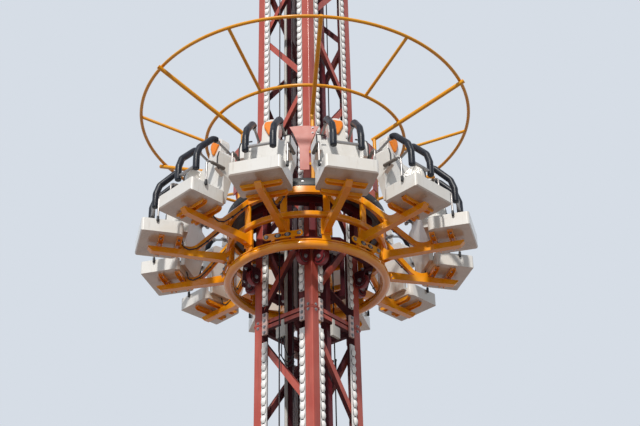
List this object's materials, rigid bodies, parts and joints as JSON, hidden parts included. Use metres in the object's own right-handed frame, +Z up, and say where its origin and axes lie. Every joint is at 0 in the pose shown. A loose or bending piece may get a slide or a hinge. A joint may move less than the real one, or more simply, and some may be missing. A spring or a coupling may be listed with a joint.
{
  "type": "drop tower ride",
  "caption": "Lattice tower with a climbing carriage and a turning ring of outward-facing seats under a ringed crown, with over-shoulder restraints that swing open.",
  "frame": {"origin": "centre of the tower's base plate at its underside, on the ground", "axes": "+Z up along the tower; +X and +Y square to the tower's faces; -Y is the front face"},
  "size_m": [5.3118, 5.3118, 19.6839],
  "materials": {
    "tower_paint": "weathered red-brown gloss paint",
    "deep_red_paint": "dark red gloss paint",
    "white_strip": "white powder coat",
    "pale_pink_paint": "pale faded paint",
    "grey_box": "weathered grey plastic",
    "galvanised": "galvanised steel",
    "steel_rope": "greased wire rope",
    "black_steel": "black paint",
    "wheel_tread": "polyurethane tread",
    "ring_paint": "orange-yellow gloss paint",
    "salmon_paint": "salmon-red gloss paint",
    "white_shell": "off-white gel coat",
    "orange_pad": "orange padded cover",
    "grey_tube": "plain steel tube",
    "black_pad": "dark padded cover"
  },
  "bodies": {
    "tower": {"base_plate": "galvanised", "base_legs": "tower_paint", "base_beams": "tower_paint", "corner_columns": "tower_paint", "bracing_front": "tower_paint", "bracing_right": "tower_paint", "bracing_back": "tower_paint", "bracing_left": "tower_paint", "light_strips": "white_strip", "joint_blocks": "pale_pink_paint", "guide_posts": "deep_red_paint", "conduit": "grey_box", "junction_boxes": "grey_box", "head_frame": "tower_paint", "head_sheaves": "galvanised", "base_sheaves": "galvanised", "hoist_ropes": "steel_rope"},
    "carriage": {"carriage_lower_frame": "deep_red_paint", "carriage_upper_frame": "deep_red_paint", "carriage_posts": "deep_red_paint", "wheel_forks": "deep_red_paint", "guide_wheels": "wheel_tread", "rope_clamps": "galvanised", "slewing_ring_fixed": "black_steel"},
    "seat_ring": {"slewing_ring_turning": "black_steel", "bottom_ring": "ring_paint", "middle_ring": "ring_paint", "top_ring": "ring_paint", "ring_posts": "ring_paint", "seat_arms": "ring_paint", "arm_struts": "ring_paint", "seat_cross_beams": "ring_paint", "splice_plates": "ring_paint", "crown_posts": "ring_paint", "crown_panels": "salmon_paint", "crown_inner_ring": "ring_paint", "crown_outer_ring": "ring_paint", "crown_long_spokes": "ring_paint", "crown_short_spokes": "ring_paint", "seat_bases": "white_shell", "seat_backs": "white_shell", "head_pads": "orange_pad", "grab_bars": "grey_tube", "pivot_lugs": "galvanised"},
    "restraint_01": {"restraint_01": "black_pad"},
    "restraint_02": {"restraint_02": "black_pad"},
    "restraint_03": {"restraint_03": "black_pad"},
    "restraint_04": {"restraint_04": "black_pad"},
    "restraint_05": {"restraint_05": "black_pad"},
    "restraint_06": {"restraint_06": "black_pad"},
    "restraint_07": {"restraint_07": "black_pad"},
    "restraint_08": {"restraint_08": "black_pad"},
    "restraint_09": {"restraint_09": "black_pad"},
    "restraint_10": {"restraint_10": "black_pad"},
    "restraint_11": {"restraint_11": "black_pad"},
    "restraint_12": {"restraint_12": "black_pad"}
  },
  "joints": [
    {"name": "hoist_slide", "type": "slide", "parent": "tower", "child": "carriage", "axis": [0, 0, 1], "range_m": [-10.4, 6.7]},
    {"name": "ring_turn", "type": "hinge", "parent": "carriage", "child": "seat_ring", "pos_m": [0, 0, 10.72], "axis": [0, 0, 1], "continuous": true},
    {"name": "restraint_01_hinge", "type": "hinge", "parent": "seat_ring", "child": "restraint_01", "pos_m": [1.5572, 0.6933, 12.15], "axis": [0.4067, -0.9135, 0], "range_deg": [0, 85]},
    {"name": "restraint_02_hinge", "type": "hinge", "parent": "seat_ring", "child": "restraint_02", "pos_m": [1.0019, 1.3791, 12.15], "axis": [0.809, -0.5878, 0], "range_deg": [0, 85]},
    {"name": "restraint_03_hinge", "type": "hinge", "parent": "seat_ring", "child": "restraint_03", "pos_m": [0.1782, 1.6953, 12.15], "axis": [0.9945, -0.1045, 0], "range_deg": [0, 85]},
    {"name": "restraint_04_hinge", "type": "hinge", "parent": "seat_ring", "child": "restraint_04", "pos_m": [-0.6933, 1.5572, 12.15], "axis": [0.9135, 0.4067, 0], "range_deg": [0, 85]},
    {"name": "restraint_05_hinge", "type": "hinge", "parent": "seat_ring", "child": "restraint_05", "pos_m": [-1.3791, 1.0019, 12.15], "axis": [0.5878, 0.809, 0], "range_deg": [0, 85]},
    {"name": "restraint_06_hinge", "type": "hinge", "parent": "seat_ring", "child": "restraint_06", "pos_m": [-1.6953, 0.1782, 12.15], "axis": [0.1045, 0.9945, 0], "range_deg": [0, 85]},
    {"name": "restraint_07_hinge", "type": "hinge", "parent": "seat_ring", "child": "restraint_07", "pos_m": [-1.5572, -0.6933, 12.15], "axis": [-0.4067, 0.9135, 0], "range_deg": [0, 85]},
    {"name": "restraint_08_hinge", "type": "hinge", "parent": "seat_ring", "child": "restraint_08", "pos_m": [-1.0019, -1.3791, 12.15], "axis": [-0.809, 0.5878, 0], "range_deg": [0, 85]},
    {"name": "restraint_09_hinge", "type": "hinge", "parent": "seat_ring", "child": "restraint_09", "pos_m": [-0.1782, -1.6953, 12.15], "axis": [-0.9945, 0.1045, 0], "range_deg": [0, 85]},
    {"name": "restraint_10_hinge", "type": "hinge", "parent": "seat_ring", "child": "restraint_10", "pos_m": [0.6933, -1.5572, 12.15], "axis": [-0.9135, -0.4067, 0], "range_deg": [0, 85]},
    {"name": "restraint_11_hinge", "type": "hinge", "parent": "seat_ring", "child": "restraint_11", "pos_m": [1.3791, -1.0019, 12.15], "axis": [-0.5878, -0.809, 0], "range_deg": [0, 85]},
    {"name": "restraint_12_hinge", "type": "hinge", "parent": "seat_ring", "child": "restraint_12", "pos_m": [1.6953, -0.1782, 12.15], "axis": [-0.1045, -0.9945, 0], "range_deg": [0, 85]}
  ]
}
